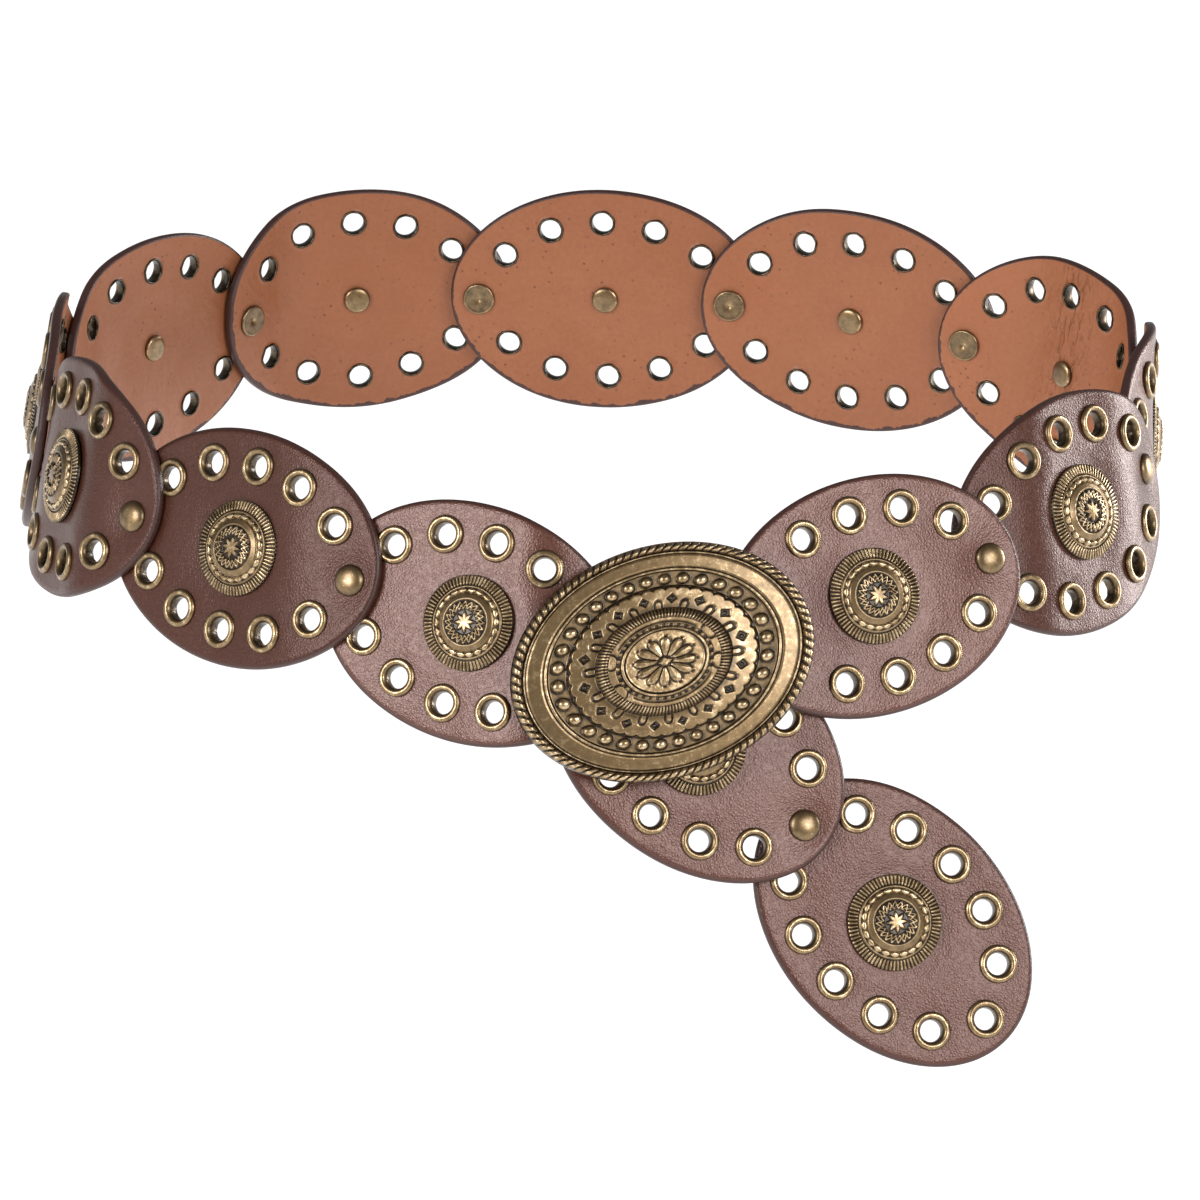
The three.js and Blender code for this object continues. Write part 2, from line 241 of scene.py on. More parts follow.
def leather_disc(number, pattern):
    """Corners, faces, the material of each face, and the marks of each corner: how far it is from
    the disc's edge, where it lies across and along the bend, how hard it is bent there, and the
    disc's lightness, which is partly dye and partly painted light and shade."""
    disc = discs[number]
    flat, triangles, loops = pattern
    corners = []
    marks = dict(from_edge=[], across_bend=[], along_bend=[], worked=[], tone=[])
    skew = turn_z(disc["skew"])
    unskew = turn_z(-disc["skew"])
    bent = min(disc["near"], disc["far"])
    hard = min(max((bent - hard_bend_from) / (hard_bend_full - hard_bend_from), 0), 1)

    def corner(u, v, height):
        lie = unskew @ Vector((u, v, 0))
        along, rise, turn = curved(disc, lie.x)
        out = height + sag(number, u, v)
        place = skew @ Vector((along + out * sin(turn), lie.y, rise + out * cos(turn)))
        corners.append(disc["middle"] @ place)
        inside = max(1 - (u / half_long) ** 2 - (v / half_wide) ** 2, 0)
        slope = 2 * hypot(u / half_long ** 2, v / half_wide ** 2)
        marks["from_edge"].append(inside / max(slope, 1e-3))
        marks["across_bend"].append(lie.x + 100 * number)
        marks["along_bend"].append(lie.y)
        marks["worked"].append(hard * bell(lie.x, hard_bend_reach))
        marks["tone"].append(disc["tone"])
        return len(corners) - 1

    outer = [corner(u, v, leather_thick / 2 - squeeze(u, v)) for u, v in flat]
    inner = [corner(u, v, squeeze(u, v) - leather_thick / 2) for u, v in flat]
    faces = [tuple(outer[i] for i in t) for t in triangles]
    parts = [0] * len(faces)
    faces += [tuple(inner[i] for i in reversed(t)) for t in triangles]
    parts += [1] * len(triangles)
    last = [outer[i] for i in loops[0]]
    for step, (inset, height) in enumerate(edge_steps[1:]):
        ring = [corner(*rim_point(2 * pi * i / rim_sides, inset), height) for i in range(rim_sides)]
        for i in range(rim_sides):
            faces.append((last[i - 1], ring[i - 1], ring[i], last[i]))
            parts.append(0 if step < 2 else 2)
        last = ring
    back = [inner[i] for i in loops[0]]
    for i in range(rim_sides):
        faces.append((last[i - 1], back[i - 1], back[i], last[i]))
        parts.append(1)
    for loop in loops[1:]:
        for i in range(len(loop)):
            faces.append((outer[loop[i]], outer[loop[i - 1]], inner[loop[i - 1]], inner[loop[i]]))
            parts.append(2)
    return corners, faces, parts, marks


def piece_of(name, corners, faces, materials, parts=None, **marks):
    """A smooth-shaded object from corners in millimetres, with a number at each for each mark."""
    mesh = bpy.data.meshes.new(name)
    mesh.from_pydata([Vector(c) * millimetre for c in corners], [], faces)
    for material in materials:
        mesh.materials.append(material)
    if parts:
        mesh.polygons.foreach_set("material_index", parts)
    mesh.polygons.foreach_set("use_smooth", [True] * len(faces))
    for mark, numbers in marks.items():
        mesh.attributes.new(mark, "FLOAT", "POINT").data.foreach_set("value", numbers)
    mesh.update()
    piece = bpy.data.objects.new(name, mesh)
    bpy.context.scene.collection.objects.link(piece)
    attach(piece, "root")
    return piece


def linear(hex_colour):
    """An sRGB hex value as linear colour."""
    shades = [int(hex_colour[i:i + 2], 16) / 255 for i in (1, 3, 5)]
    return [s / 12.92 if s <= 0.04045 else ((s + 0.055) / 1.055) ** 2.4 for s in shades] + [1.0]


# The sockets of a Map Range node and the two colours of a Mix node go by their numbers
from_low, from_high, to_low, to_high = 1, 2, 3, 4
colour_a, colour_b = 6, 7


def add(tree, kind, inputs=None, **settings):
    """A node with its settings, and its inputs set to values or linked to outputs."""
    node = tree.nodes.new(kind)
    for name, value in settings.items():
        setattr(node, name, value)
    for name, value in (inputs or {}).items():
        if isinstance(value, bpy.types.NodeSocket):
            tree.links.new(value, node.inputs[name])
        else:
            node.inputs[name].default_value = value
    return node


def finish_of(name, **sockets):
    """A new material, with the values that are the same all over it set on its shader."""
    made = bpy.data.materials.new(name)
    made.use_nodes = True
    shader = made.node_tree.nodes["Principled BSDF"]
    for socket, value in sockets.items():
        shader.inputs[socket.replace("_", " ")].default_value = value
    return made, made.node_tree, shader


# Full-grain belt leather, drum dyed and waxed. It is red brown with broad mauve-grey glints, more
# on the discs that hold more wax, has a fine pebble, drawn 0.9 mm across so that it shows, and is
# darker where the edge is burnished. Each disc is drawn lighter or darker as a whole, partly for
# its dye and partly as painted light and shade for how much light it gets.
grain_leather, tree, shader = finish_of("waxed_grain_leather", IOR=1.5, Coat_Roughness=0.3,
                                        Specular_IOR_Level=0.74)
where = add(tree, "ShaderNodeTexCoord").outputs["Object"]
cloud = add(tree, "ShaderNodeTexNoise", {"Vector": where, "Scale": 1 / 0.022, "Detail": 3.0,
                                         "Roughness": 0.55})
mottle = add(tree, "ShaderNodeTexNoise", {"Vector": where, "Scale": 1 / 0.0011, "Detail": 3.0,
                                          "Roughness": 0.7})
pebble = add(tree, "ShaderNodeTexVoronoi", {"Vector": where, "Scale": 1 / 0.0009,
                                            "Randomness": 1.0}, feature="DISTANCE_TO_EDGE")
crease = add(tree, "ShaderNodeTexNoise", {"Vector": where, "Scale": 1 / 0.004, "Detail": 5.0,
                                          "Distortion": 0.6})
dye = add(tree, "ShaderNodeMix", {"Factor": cloud.outputs["Fac"], colour_a: linear("#553022"),
                                  colour_b: linear("#623a2a")}, data_type="RGBA")
speck = add(tree, "ShaderNodeMapRange", {"Value": mottle.outputs["Fac"],
                                         from_low: 0.3, from_high: 0.72})
shade = add(tree, "ShaderNodeMix", {"Factor": speck.outputs[0], colour_a: linear("#4e291e"),
                                    colour_b: dye.outputs[2]}, data_type="RGBA")
near_edge = add(tree, "ShaderNodeAttribute", attribute_name="from_edge")
burnish = add(tree, "ShaderNodeMapRange", {"Value": near_edge.outputs["Fac"],
                                           from_low: 0.1, from_high: 1.6})
colour = add(tree, "ShaderNodeMix", {"Factor": burnish.outputs[0], colour_a: linear("#38211c"),
                                     colour_b: shade.outputs[2]}, data_type="RGBA")
# Each disc's lightness is partly its dye and partly painted light and shade for how much light it
# gets
tone = add(tree, "ShaderNodeAttribute", attribute_name="tone")
lightness = add(tree, "ShaderNodeMapRange", {"Value": tone.outputs["Fac"],
                                             to_low: 0.68, to_high: 1.1})
dyed_and_shaded = add(tree, "ShaderNodeHueSaturation", {"Value": lightness.outputs[0],
                                             "Color": colour.outputs[2]})
gloss = add(tree, "ShaderNodeMapRange", {"Value": mottle.outputs["Fac"], from_low: 0.2,
                                         from_high: 0.8, to_low: 0.28, to_high: 0.42})
wax = add(tree, "ShaderNodeMapRange", {"Value": tone.outputs["Fac"], from_high: 0.7,
                                       to_low: 0.16, to_high: 0.45})
buffed = add(tree, "ShaderNodeMapRange", {"Value": tone.outputs["Fac"], from_high: 0.7})
glint = add(tree, "ShaderNodeMix", {"Factor": buffed.outputs[0], colour_a: linear("#c2a49e"),
                                    colour_b: linear("#ffd9d0")}, data_type="RGBA")
fine = add(tree, "ShaderNodeBump", {"Height": pebble.outputs["Distance"], "Strength": 0.4,
                                    "Distance": 0.0003})
folds = add(tree, "ShaderNodeBump", {"Height": crease.outputs["Fac"], "Strength": 0.3,
                                     "Distance": 0.0006, "Normal": fine.outputs[0]})
tree.links.new(dyed_and_shaded.outputs[0], shader.inputs["Base Color"])
tree.links.new(gloss.outputs[0], shader.inputs["Roughness"])
tree.links.new(wax.outputs[0], shader.inputs["Coat Weight"])
tree.links.new(glint.outputs[2], shader.inputs["Specular Tint"])
tree.links.new(folds.outputs[0], shader.inputs["Normal"])
tree.links.new(fine.outputs[0], shader.inputs["Coat Normal"])

# The flesh side, shaved smooth and stained tan. It is drier than the face, with small dark pores
# about 3 mm apart, long faint wrinkles, puckers 2 mm apart where it is bent hard, with painted
# shade in their hollows, and the edge's dark paint lapped over it in a chipped band that is wider
# at the bottom.
tan_leather, tree, shader = finish_of("shaved_tan_leather", IOR=1.45)
where = add(tree, "ShaderNodeTexCoord").outputs["Object"]
cloud = add(tree, "ShaderNodeTexNoise", {"Vector": where, "Scale": 1 / 0.02, "Detail": 4.0,
                                         "Roughness": 0.6})
fibre = add(tree, "ShaderNodeTexNoise", {"Vector": where, "Scale": 1 / 0.0013, "Detail": 4.0,
                                         "Roughness": 0.7})
pore = add(tree, "ShaderNodeTexVoronoi", {"Vector": where, "Scale": 1 / 0.0026,
                                          "Randomness": 1.0})
pit = add(tree, "ShaderNodeMapRange", {"Value": pore.outputs["Distance"], from_low: 0.08,
                                       from_high: 0.2, to_low: 1.0, to_high: 0.0})
wrinkle = add(tree, "ShaderNodeTexNoise", {"Vector": where, "Scale": 1 / 0.006, "Detail": 6.0,
                                           "Distortion": 1.2})
stain = add(tree, "ShaderNodeMix", {"Factor": cloud.outputs["Fac"], colour_a: linear("#8e5535"),
                                    colour_b: linear("#9d6241")}, data_type="RGBA")
fuzz = add(tree, "ShaderNodeMapRange", {"Value": fibre.outputs["Fac"], from_low: 0.3,
                                        from_high: 0.7, to_high: 0.32})
dry = add(tree, "ShaderNodeMix", {"Factor": fuzz.outputs[0], colour_a: stain.outputs[2],
                                  colour_b: linear("#774323")}, data_type="RGBA")
patch = add(tree, "ShaderNodeMapRange", {"Value": cloud.outputs["Fac"], from_low: 0.45,
                                         from_high: 0.62, to_low: 0.12, to_high: 0.85})
spotted = add(tree, "ShaderNodeMath", {0: pit.outputs[0], 1: patch.outputs[0]},
              operation="MULTIPLY")
pored = add(tree, "ShaderNodeMix", {"Factor": spotted.outputs[0], colour_a: dry.outputs[2],
                                    colour_b: linear("#5c3524")}, data_type="RGBA")
near_edge = add(tree, "ShaderNodeAttribute", attribute_name="from_edge")
chips = add(tree, "ShaderNodeTexNoise", {"Vector": where, "Scale": 1 / 0.0045, "Detail": 3.0,
                                         "Roughness": 0.7})
along = add(tree, "ShaderNodeAttribute", attribute_name="along_bend")
lapped = add(tree, "ShaderNodeMapRange", {"Value": along.outputs["Fac"], from_low: -25.0,
                                          from_high: 25.0, to_low: 3.4, to_high: 1.5})
ragged = add(tree, "ShaderNodeMath", {0: chips.outputs["Fac"], 1: lapped.outputs[0]},
             operation="MULTIPLY")
past = add(tree, "ShaderNodeMath", {0: near_edge.outputs["Fac"], 1: ragged.outputs[0]},
           operation="SUBTRACT")
painted = add(tree, "ShaderNodeMapRange", {"Value": past.outputs[0], from_low: -0.5,
                                           from_high: -0.2, to_low: 1.0, to_high: 0.0})
colour = add(tree, "ShaderNodeMix", {"Factor": painted.outputs[0], colour_a: pored.outputs[2],
                                     colour_b: linear("#3f2621")}, data_type="RGBA")
dryness = add(tree, "ShaderNodeMapRange", {"Value": fibre.outputs["Fac"], from_low: 0.3,
                                           from_high: 0.7, to_low: 0.38, to_high: 0.55})
pitted = add(tree, "ShaderNodeBump", {"Height": pit.outputs[0], "Strength": 0.3,
                                      "Distance": 0.0002}, invert=True)
wavy = add(tree, "ShaderNodeBump", {"Height": wrinkle.outputs["Fac"], "Strength": 0.45,
                                    "Distance": 0.0007, "Normal": pitted.outputs[0]})
across = add(tree, "ShaderNodeAttribute", attribute_name="across_bend")
stretched = add(tree, "ShaderNodeMath", {0: along.outputs["Fac"], 1: 0.28}, operation="MULTIPLY")
lie = add(tree, "ShaderNodeCombineXYZ", {0: across.outputs["Fac"], 1: stretched.outputs[0]})
gather = add(tree, "ShaderNodeTexNoise", {"Vector": lie.outputs[0], "Scale": 1 / 1.9,
                                          "Detail": 4.0, "Roughness": 0.55, "Distortion": 1.4})
ridge = add(tree, "ShaderNodeMapRange", {"Value": gather.outputs["Fac"], from_low: 0.54,
                                         from_high: 0.7})
worked = add(tree, "ShaderNodeAttribute", attribute_name="worked")
puckers = add(tree, "ShaderNodeMath", {0: ridge.outputs[0], 1: worked.outputs["Fac"]},
              operation="MULTIPLY")
puckered = add(tree, "ShaderNodeBump", {"Height": puckers.outputs[0], "Strength": 0.8,
                                        "Distance": 0.0007, "Normal": wavy.outputs[0]},
               invert=True)
# Painted shade: the hollows of the puckers are darkened in the colour
painted_crease_shade = add(tree, "ShaderNodeMapRange", {"Value": puckers.outputs[0], from_low: 0.25,
                                           from_high: 0.7, to_high: 0.14})
crease_shaded = add(tree, "ShaderNodeMix", {"Factor": painted_crease_shade.outputs[0], colour_a: colour.outputs[2],
                                    colour_b: linear("#5a3322")}, data_type="RGBA")
# Each disc's lightness is partly its stain and partly painted light and shade for how much light it
# gets
tone = add(tree, "ShaderNodeAttribute", attribute_name="tone")
lightness = add(tree, "ShaderNodeMapRange", {"Value": tone.outputs["Fac"],
                                             to_low: 0.8, to_high: 1.2})
stained_and_shaded = add(tree, "ShaderNodeHueSaturation", {"Value": lightness.outputs[0],
                                                "Color": crease_shaded.outputs[2]})
tree.links.new(stained_and_shaded.outputs[0], shader.inputs["Base Color"])
tree.links.new(dryness.outputs[0], shader.inputs["Roughness"])
tree.links.new(puckered.outputs[0], shader.inputs["Normal"])

# The cut edge, sealed with dark edge paint. It is a deep brown, nearly black in its hollows, and
# it shows the leather's layers as faint ridges, drawn a little under a millimetre apart.
edge_paint, tree, shader = finish_of("painted_leather_edge", IOR=1.48)
where = add(tree, "ShaderNodeTexCoord").outputs["Object"]
layers = add(tree, "ShaderNodeTexNoise", {"Vector": where, "Scale": 1 / 0.0008, "Detail": 3.0,
                                          "Roughness": 0.6})
colour = add(tree, "ShaderNodeMix", {"Factor": layers.outputs["Fac"], colour_a: linear("#2e1b18"),
                                     colour_b: linear("#4e302a")}, data_type="RGBA")
gloss = add(tree, "ShaderNodeMapRange", {"Value": layers.outputs["Fac"], from_low: 0.3,
                                         from_high: 0.7, to_low: 0.35, to_high: 0.5})
rough_edge = add(tree, "ShaderNodeBump", {"Height": layers.outputs["Fac"], "Strength": 0.4,
                                          "Distance": 0.0003})
tree.links.new(colour.outputs[2], shader.inputs["Base Color"])
tree.links.new(gloss.outputs[0], shader.inputs["Roughness"])
tree.links.new(rough_edge.outputs[0], shader.inputs["Normal"])

strip_pattern = flat_pattern(eyelets)
patterns = [strip_pattern] * len(discs)
patterns[0] = flat_pattern(first_disc_eyelets)
patterns[last_disc] = flat_pattern(last_disc_eyelets)
for number, pattern in enumerate(patterns):
    corners, faces, parts, marks = leather_disc(number, pattern)
    piece = piece_of(f"leather_disc_{number + 1:02d}", corners, faces,
                     [grain_leather, tan_leather, edge_paint], parts, **marks)
    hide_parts(f"disc_{number + 1:02d}")

# Eyelets
# A drawn brass eyelet lines each hole: its round rim lies on the leather's face, and its barrel
# is split and rolled over behind, which leaves a thin ragged ring there.
# Each step is a radius, a height and how dark the patina lies, from 0 to 1
eyelet_steps = [(5.4, 0.95, 0.9), (5.5, 1.45, 0.5), (5.38, 1.9, 0.32), (5.0, 2.28, 0.15),
                (4.45, 2.45, 0.08), (3.95, 2.3, 0.2), (3.6, 1.95, 0.5), (3.3, 1.45, 0.65),
                (3.12, 0.8, 0.7), (3.05, 0, 0.75), (3.05, -1.0, 0.85), (3.12, -1.5, 0.95),
                (3.3, -1.72, 0.85), (3.52, -1.78, 0.75), (3.74, -1.7, 0.9), (3.85, -1.4, 1)]
eyelet_sides = 36
roll_start = 11  # the first of the steps that are rolled over behind
roll_spread = 0.25
roll_lift = 0.2
roll_tears = 2.2
most_eyelets = 20


def turned_on(seat, steps, sides, ripple=None):
    """Corners, faces and patina of a form turned about a seat's z axis, from its first step."""
    corners, faces, patina = [], [], []
    for row, (radius, height, dark) in enumerate(steps):
        for i in range(sides):
            angle = 2 * pi * i / sides
            spread, lift = ripple(row, angle) if ripple else (0, 0)
            r = max(radius + spread, 0)
            corners.append(seat @ Vector((r * cos(angle), r * sin(angle), height + lift)))
            patina.append(dark)
            if row:
                near, back = i + row * sides, (i - 1) % sides + row * sides
                faces.append((near, near - sides, back - sides, back))
    return corners, faces, patina


def ragged_roll(number):
    """The ripple of one eyelet's rolled end, which is torn in its own way."""
    def ripple(row, angle):
        if row < roll_start:
            return 0, 0
        tear = noise.noise(Vector((roll_tears * cos(angle), roll_tears * sin(angle), number * 3.1)))
        return roll_spread * tear * (row - roll_start + 1) / 4, roll_lift * tear
    return ripple


# Antique brass plate, tumbled and lacquered. It is a dull gold where the rim is rubbed and olive
# brown in its hollows, with soft reflections, paler glints from the lacquer and small spots where
# the patina has worn unevenly.
antique_brass, tree, shader = finish_of("lacquered_antique_brass", Metallic=1.0, Coat_Weight=0.6,
                                        Coat_Roughness=0.22)
where = add(tree, "ShaderNodeTexCoord").outputs["Object"]
hollow = add(tree, "ShaderNodeAttribute", attribute_name="hollow")
tarnish = add(tree, "ShaderNodeTexNoise", {"Vector": where, "Scale": 1 / 0.0022, "Detail": 4.0,
                                           "Roughness": 0.65})
spots = add(tree, "ShaderNodeMapRange", {"Value": tarnish.outputs["Fac"], from_low: 0.35,
                                         from_high: 0.7, to_low: -0.12, to_high: 0.32})
flecks = add(tree, "ShaderNodeTexNoise", {"Vector": where, "Scale": 1 / 0.0006, "Detail": 2.0,
                                          "Roughness": 0.6})
worn_off = add(tree, "ShaderNodeMapRange", {"Value": flecks.outputs["Fac"], from_low: 0.6,
                                            from_high: 0.72, to_high: -0.25})
uneven = add(tree, "ShaderNodeMath", {0: spots.outputs[0], 1: worn_off.outputs[0]},
             operation="ADD")
depth = add(tree, "ShaderNodeMath", {0: hollow.outputs["Fac"], 1: uneven.outputs[0]},
            operation="ADD", use_clamp=True)
dull = add(tree, "ShaderNodeMix", {"Factor": depth.outputs[0], colour_a: linear("#9b805a"),
                                   colour_b: linear("#261c0f")}, data_type="RGBA")
rubbed = add(tree, "ShaderNodeMapRange", {"Value": depth.outputs[0], from_high: 0.16,
                                          to_low: 1.0, to_high: 0.0})
colour = add(tree, "ShaderNodeMix", {"Factor": rubbed.outputs[0], colour_a: dull.outputs[2],
                                     colour_b: linear("#c9b08a")}, data_type="RGBA")
rub = add(tree, "ShaderNodeMapRange", {"Value": depth.outputs[0], to_low: 0.33, to_high: 0.5})
tree.links.new(colour.outputs[2], shader.inputs["Base Color"])
tree.links.new(rub.outputs[0], shader.inputs["Roughness"])


def brass_piece(name, *forms):
    """One piece from forms that are each corners, faces and patina."""
    corners, faces, patina = [], [], []
    for more, sides, dark in forms:
        faces += [tuple(i + len(corners) for i in side) for side in sides]
        corners += more
        patina += dark
    piece = piece_of(name, corners, faces, [antique_brass], hollow=patina)
    return piece


for number, disc in enumerate(discs):
    places = {0: first_disc_eyelets, last_disc: last_disc_eyelets}.get(number, eyelets)
    forms = []
    for count, (u, v) in enumerate(places):
        seat = disc["middle"] @ on_disc(disc, u, v) @ lifted(sag(number, u, v))
        roll = ragged_roll(number * most_eyelets + count)
        forms.append(turned_on(seat, eyelet_steps, eyelet_sides, roll))
    brass_piece(f"eyelets_{number + 1:02d}", *forms)

# Conchos
# One die-struck brass concho sits at the middle of each disc. From its edge inwards it has fine
# flutes, a smooth step, a ring of long beads, a dome, a leafy crown and an eight-pointed star.
# A post runs through the leather to a button cap behind.
flute_count = 74
long_bead_count = 22
long_bead_ring = 9.1
long_bead_half = 0.82
leaf_count = 20
star_tips = 8


def saw(turns):
    """A wave of straight lines, 1 at whole turns and -1 halfway between them."""
    return abs(4 * (turns % 1) - 2) - 1


def ramp(value, low, high):
    """0 below low, 1 above high, and eased between them."""
    share = min(max((value - low) / (high - low), 0), 1)
    return share * share * (3 - 2 * share)


def from_middle(turn, count):
    """How far a point is from the middle of its own repeat, from -0.5 to 0.5 of a repeat."""
    return (turn * count + 0.5) % 1 - 0.5


# A relief gives the lift in millimetres and how dark the patina lies, from 0 to 1, at a ring r, a
# share of the way round it, and the place x and y in millimetres
def even(dark):
    """A relief with nothing on it, and one patina."""
    return lambda r, turn, x, y: (0.0, dark)


sunk = even(1.0)
smooth = even(0.3)


def fluted(r, turn, x, y):
    ridge = 1 - ramp(abs(from_middle(turn, flute_count)), 0.2, 0.36)
    return 0.42 * ridge - 0.2, 0.9 - 0.85 * ridge


def long_beads(r, turn, x, y):
    along = 2 * from_middle(turn, long_bead_count) / 0.96
    width = long_bead_half * max(1 - along * along, 0) ** 0.6
    across = abs(r - long_bead_ring)
    if across >= width:
        return -0.25, 0.9 if r > long_bead_ring else 0.6
    crown = sqrt(1 - (across / width) ** 2)
    return 0.7 * crown * min(width / 0.4, 1) - 0.25, 0.75 - 0.75 * min(crown * 1.8, 1)


def leafy_crown(r, turn, x, y):
    lean = 0.12 * (r - 4.8)
    outer = abs(r - (5.2 + 0.65 * saw(turn * leaf_count + lean)))
    inner = abs(r - (4.35 + 0.55 * saw(turn * leaf_count + 0.3 + lean)))
    stroke = 1 - ramp(min(outer, inner), 0.26, 0.5)
    return 0.45 * stroke - 0.15, 0.97 - 0.97 * stroke


def star(r, turn, x, y):
    inside = ramp(2.3 + 0.8 * saw(turn * star_tips) - r, -0.1, 0.25)
    return 0.6 * inside - 0.2, 0.95 - 0.83 * inside


# Each zone goes from its outer ring to its inner one, and from the height of its foot to its top's
concho_zones = [
    dict(outer=13.55, inner=13.5, foot=0.0, top=0.6, rings=1, points=148, relief=sunk),
    dict(outer=13.5, inner=10.75, foot=0.75, top=1.4, rings=5, points=flute_count * 8,
         relief=fluted),
    dict(outer=10.75, inner=10.5, foot=1.2, top=1.3, rings=1, points=148, relief=sunk),
    dict(outer=10.45, inner=9.95, foot=1.5, top=1.65, rings=2, points=148, relief=smooth),
    dict(outer=9.9, inner=8.3, foot=1.7, top=2.1, rings=11, points=long_bead_count * 14,
         relief=long_beads),
    dict(outer=8.25, inner=6.4, foot=2.2, top=2.95, rings=4, points=120, relief=smooth),
    dict(outer=6.3, inner=6.1, foot=2.6, top=2.6, rings=1, points=120, relief=sunk),
    dict(outer=6.0, inner=3.65, foot=2.95, top=3.4, rings=13, points=leaf_count * 14,
         relief=leafy_crown),
    dict(outer=3.5, inner=0.05, foot=3.15, top=3.3, rings=13, points=star_tips * 16, relief=star),
]


def evenly(count, long, wide):
    """Angles that put points evenly round an oval."""
    fine = 1440
    length = [0.0]
    for i in range(fine):
        a, b = 2 * pi * i / fine, 2 * pi * (i + 1) / fine
        length.append(length[-1] + hypot(long * (cos(b) - cos(a)), wide * (sin(b) - sin(a))))
    angles = []
    i = 0
    for point in range(count):
        wanted = length[-1] * point / count
        while length[i + 1] <= wanted:
            i += 1
        angles.append(2 * pi * (i + (wanted - length[i]) / (length[i + 1] - length[i])) / fine)
    return angles


def joined(outer, inner):
    """Faces between two rings, whether or not they have as many points."""
    if len(outer) == len(inner):
        return [(outer[i - 1], outer[i], inner[i], inner[i - 1]) for i in range(len(outer))]
    faces = []
    a = b = 0
    while a < len(outer) or b < len(inner):
        first, second = outer[a % len(outer)], inner[b % len(inner)]
        if b == len(inner) or (a < len(outer) and (a + 1) * len(inner) <= (b + 1) * len(outer)):
            a += 1
            faces.append((first, outer[a % len(outer)], second))
        else:
            b += 1
            faces.append((second, first, inner[b % len(inner)]))
    return faces


def struck(zones, long=1.0, wide=1.0):
    """Corners, faces and patina of an oval relief, ring by ring from its edge to its middle."""
    corners, faces, patina, before = [], [], [], []
    for zone in zones:
        angles = evenly(zone["points"], long, wide)
        for step in range(zone["rings"] + 1):
            share = step / zone["rings"]
            r = zone["outer"] + (zone["inner"] - zone["outer"]) * share
            height = zone["foot"] + (zone["top"] - zone["foot"]) * share
            ring = list(range(len(corners), len(corners) + zone["points"]))
            for i, angle in enumerate(angles):
                x, y = r * long * cos(angle), r * wide * sin(angle)
                lift, dark = zone["relief"](r, i / zone["points"], x, y)
                corners.append(Vector((x, y, height + lift)))
                patina.append(dark)
            faces += joined(before, ring) if before else []
            before = ring
    return corners, faces, patina


button_steps = [(1.3, -1.2, 1), (1.3, -1.75, 1), (3.6, -1.62, 0.9), (3.85, -1.72, 0.7),
                (3.88, -2.1, 0.35), (3.7, -2.5, 0.1), (3.3, -2.75, 0.15), (2.6, -2.9, 0.3),
                (1.6, -2.98, 0.35), (0.8, -3.0, 0.3), (0.02, -3.0, 0.3)]
button_sides = 32
concho_sunk_in = 0.15
face_corners, face_sides, face_patina = struck(concho_zones)
for number, disc in enumerate(discs):
    seat = disc["middle"] @ lifted(sag(number, 0, 0))
    front = seat @ lifted(leather_thick / 2 - concho_sunk_in) @ turn_z(11 + 17 * number)
    face = [front @ corner for corner in face_corners], face_sides, face_patina
    piece = brass_piece(f"struck_concho_{number + 1:02d}", face,
                        turned_on(seat, button_steps, button_sides))
    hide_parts(f"concho_{number + 1:02d}")

# Joint rivets
# A tubular rivet joins each pair of discs. Its outer cap is a low dome, and its inner one is
# flat, with a turned-down rim and the dimple that the setting punch left at its middle.
rivet_cap = [(4.1, 2.5, 1), (4.45, 2.85, 0.85), (4.5, 3.4, 0.65), (4.3, 3.85, 0.5),
             (3.9, 4.25, 0.4), (3.3, 4.6, 0.35), (2.5, 4.88, 0.3), (1.6, 5.05, 0.28),
             (0.8, 5.12, 0.25), (0.02, 5.14, 0.25)]
rivet_back = [(4.3, -2.5, 1), (4.62, -2.85, 0.8), (4.68, -3.3, 0.5), (4.5, -3.62, 0.2),
              (4.15, -3.78, 0.25), (3.9, -3.72, 0.6), (3.5, -3.7, 0.5), (2.0, -3.68, 0.45),
              (1.1, -3.62, 0.35), (0.7, -3.45, 0.2), (0.3, -3.3, 0.15), (0.02, -3.28, 0.1)]
rivet_sides = 40
for number, seat in enumerate(rivets_at):
    seat = seat @ lifted(-rivet_dip)
    piece = brass_piece(f"set_rivet_{number + 1:02d}", turned_on(seat, rivet_cap, rivet_sides),
                        turned_on(seat, rivet_back, rivet_sides))
    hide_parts(f"rivet_{number + 1:02d}")

# Buckle
# The buckle is one lost-wax brass casting, a shallow oval shell with a roped edge, a plain band, a
# channel of round beads, a scalloped plate with pits and petals, and a raised medallion. A riveted
# post holds it to the first disc, and a straight peg with a cap behind goes through an eyelet of
# the twelfth.
buckle_half_long = 43.7
buckle_half_wide = 32.3
mean_half = (buckle_half_long + buckle_half_wide) / 2
buckle_at = facing(x=17.2, y=-145.2, z=-13.7, heading=8, lean=22, tilt=15.5)
rope_turns = 98
round_bead_count = 32
round_bead_ring = 0.692
round_bead_radius = 1.7
scallop_count = 42
scallop_ring = 0.63
pit_count = 16
pit_ring = 0.53
tongue_ring = 0.47
rib_count = 108
square_count = 36
petal_count = 12

# On the buckle a ring is a share of its half sizes, so that its outline is ring 1
worn_band = even(0.2)
bright_line = even(0.05)


def roped(r, turn, x, y):
    across = (r - 0.925) / 0.075
    round_cord = sqrt(max(1 - (2 * across - 1) ** 2, 0))
    cord = ramp(0.5 - abs(from_middle(turn + across * 0.0095, rope_turns)), 0.07, 0.24)
    dark = 1 - 0.95 * cord * min(round_cord * 1.3, 1)
    return 1.6 * round_cord + 0.7 * cord * round_cord - 0.6, dark


